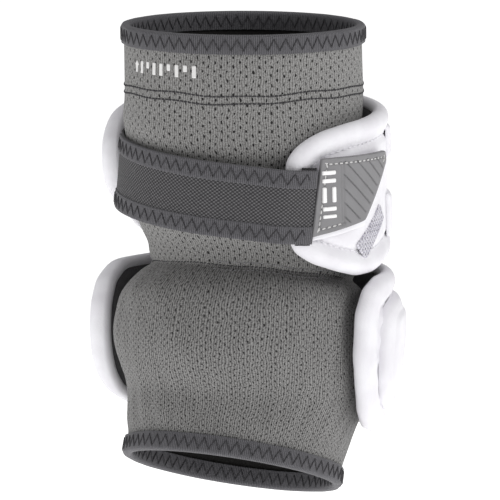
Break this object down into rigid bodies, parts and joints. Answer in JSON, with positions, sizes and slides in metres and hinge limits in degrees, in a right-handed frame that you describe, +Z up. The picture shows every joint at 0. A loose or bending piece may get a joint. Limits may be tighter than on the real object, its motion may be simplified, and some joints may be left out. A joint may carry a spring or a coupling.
{
  "type": "elbow pad",
  "caption": "Pull-on arm pad: bent stretch sleeve with bound cuffs, wrap-round upper-arm guard, cupped elbow cap and an elastic strap closed by a rubber pull tab.",
  "frame": {"origin": "centre of the top opening, on the plane of the upper cuff's edge", "axes": "+Z up along the upper arm; the inside of the elbow faces -Y, the elbow cap +Y; the pull tab is on the +X side"},
  "size_m": [0.1474, 0.1346, 0.2215],
  "materials": {
    "sleeve_mesh": "perforated polyester and elastane knit, light grey",
    "binding_elastic": "matt woven fold-over elastic, dark grey",
    "grip_silicone": "satin silicone-faced elastic",
    "thread": "spun polyester overlock thread",
    "print_ink": "heat-transfer print",
    "pad_lining": "brushed dark lining knit",
    "foam": "closed-cell EVA foam",
    "plate_plastic": "polyethylene sheet",
    "pad_skin": "white coated synthetic leather, satin",
    "vent_mesh": "ribbed spacer mesh, white",
    "tack_tape": "woven tape",
    "loop_pile": "brushed loop pile",
    "strap_web": "woven elastic, dark grey",
    "tab_rubber": "moulded rubber, satin grey",
    "tab_emblem": "raised moulded mark, white",
    "tab_backing": "white foam-backed fabric",
    "hook_plastic": "nylon hook tape"
  },
  "bodies": {
    "upper_arm": {"upper_sleeve": "sleeve_mesh", "top_binding": "binding_elastic", "grip_band": "grip_silicone", "upper_back_seam": "thread", "direction_mark": "print_ink", "elbow_flex_panel": "sleeve_mesh", "upper_pad_lining": "pad_lining", "upper_pad_foam": "foam", "upper_pad_plate": "plate_plastic", "upper_pad_cover": "pad_skin", "upper_pad_segments": "pad_skin", "upper_pad_vent": "vent_mesh", "upper_pad_tack": "tack_tape", "loop_patch": "loop_pile", "strap_anchor": "strap_web"},
    "forearm": {"forearm_sleeve": "sleeve_mesh", "bottom_binding": "binding_elastic", "lower_back_seam": "thread", "cap_lining": "pad_lining", "cap_foam": "foam", "cap_cover": "pad_skin", "cap_hard_cup": "plate_plastic", "cap_shell": "pad_skin", "cap_tack": "tack_tape"},
    "strap": {"strap_webbing": "strap_web", "strap_top_binding": "binding_elastic", "strap_bottom_binding": "binding_elastic", "strap_end_wrap": "strap_web"},
    "pull_tab": {"tab_rubber": "tab_rubber", "tab_backing": "tab_backing", "tab_hook_patch": "hook_plastic", "tab_emblem": "tab_emblem"}
  },
  "joints": [
    {"name": "elbow_flex", "type": "hinge", "parent": "upper_arm", "child": "forearm", "pos_m": [0, 0.004, -0.13], "axis": [-1, 0, 0], "range_deg": [-8, 65], "stiffness_Nm_per_rad": 0.4, "deforming": ["elbow_flex_panel"]},
    {"name": "strap_swing", "type": "hinge", "parent": "upper_arm", "child": "strap", "pos_m": [-0.0511, -0.02568, -0.066], "axis": [-0.0958, 0, -0.9954], "range_deg": [0, 75]},
    {"name": "tab_peel", "type": "hinge", "parent": "strap", "child": "pull_tab", "pos_m": [0.05465, -0.0352, -0.071], "axis": [0, 0, -1], "range_deg": [0, 85]}
  ]
}
